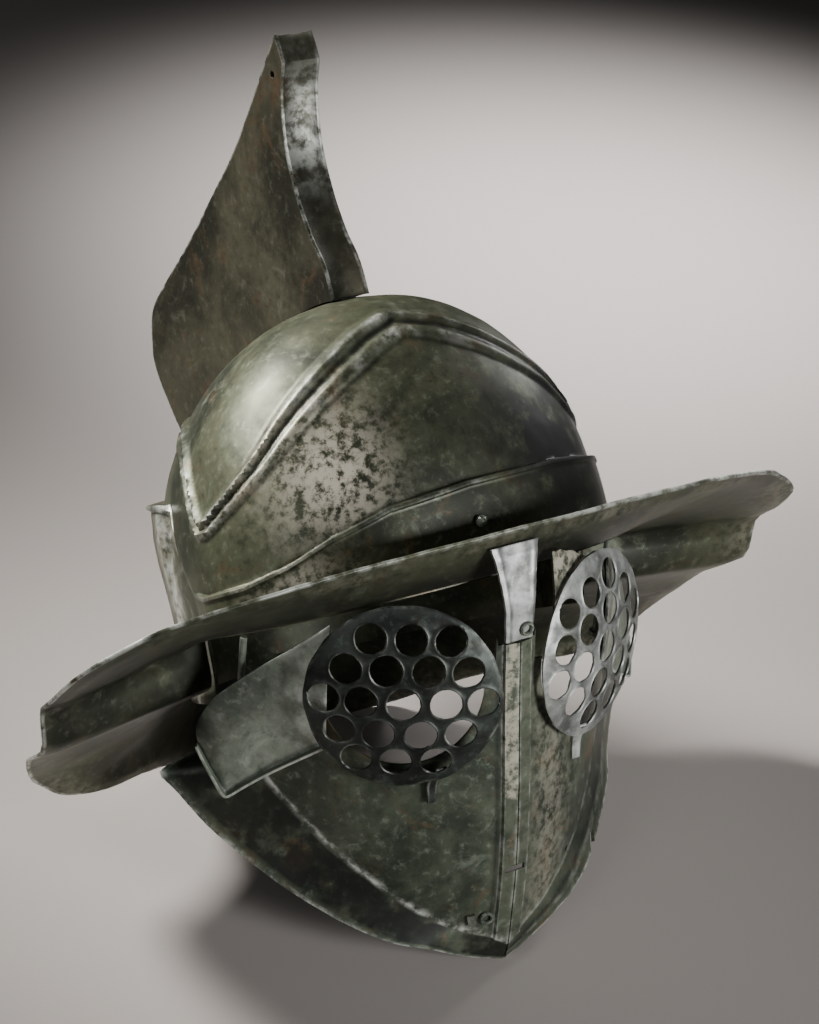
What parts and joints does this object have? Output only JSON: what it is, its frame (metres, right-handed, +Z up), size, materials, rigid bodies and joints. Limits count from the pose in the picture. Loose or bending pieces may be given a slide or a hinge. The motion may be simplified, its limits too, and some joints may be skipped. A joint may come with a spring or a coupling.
{
  "type": "gladiator helmet",
  "caption": "Bronze gladiator helmet with a wide curved brim, a hollow fin crest, a hinged two-part visor and round pierced eye grilles.",
  "frame": {"origin": "centre of the footprint's bounding box, on the floor that the chin and the neck guard rest on", "axes": "+X to the right of a viewer in front of the helmet, +Y to its back, +Z up, with the helmet leaning back on its chin and its neck guard"},
  "size_m": [0.4146, 0.3582, 0.3858],
  "materials": {
    "bowl": "bronze sheet with a dark olive and brown patina, satin",
    "brim": "bronze sheet with a dark olive and brown patina, satin",
    "crest": "bronze sheet with a dark olive and brown patina, satin",
    "brow_rivet": "bronze with a pale worn grey patina, satin",
    "nasal_band": "bronze with a pale worn grey patina, satin",
    "nasal_eyelet": "bronze with a pale worn grey patina, satin",
    "hinge_pin_left": "bronze with a nearly black patina, dull",
    "hinge_pin_right": "bronze with a nearly black patina, dull",
    "cheek_plate_left": "bronze sheet with a dark olive and brown patina, satin",
    "temple_plate_left": "bronze sheet with a dark olive and brown patina, satin",
    "eye_grille_left": "bronze with a nearly black patina, dull",
    "chin_staple": "bronze with a pale worn grey patina, satin",
    "chin_ring": "bronze with a pale worn grey patina, satin",
    "cheek_plate_right": "bronze sheet with a dark olive and brown patina, satin",
    "temple_plate_right": "bronze sheet with a dark olive and brown patina, satin",
    "eye_grille_right": "bronze with a pale worn grey patina, satin"
  },
  "bodies": {
    "shell": {"bowl": "bowl", "brim": "brim", "crest": "crest", "brow_rivet": "brow_rivet", "nasal_band": "nasal_band", "nasal_eyelet": "nasal_eyelet", "hinge_pin_left": "hinge_pin_left", "hinge_pin_right": "hinge_pin_right"},
    "visor_left": {"cheek_plate_left": "cheek_plate_left", "temple_plate_left": "temple_plate_left", "eye_grille_left": "eye_grille_left", "chin_staple": "chin_staple", "chin_ring": "chin_ring"},
    "visor_right": {"cheek_plate_right": "cheek_plate_right", "temple_plate_right": "temple_plate_right", "eye_grille_right": "eye_grille_right"}
  },
  "joints": [
    {"name": "visor_left_hinge", "type": "hinge", "parent": "shell", "child": "visor_left", "pos_m": [-0.1046, -0.08838, 0.1166], "axis": [0, 0, 1], "range_deg": [-60, 0]},
    {"name": "visor_right_hinge", "type": "hinge", "parent": "shell", "child": "visor_right", "pos_m": [0.1046, -0.08838, 0.1166], "axis": [0, 0, 1], "range_deg": [0, 60]}
  ]
}
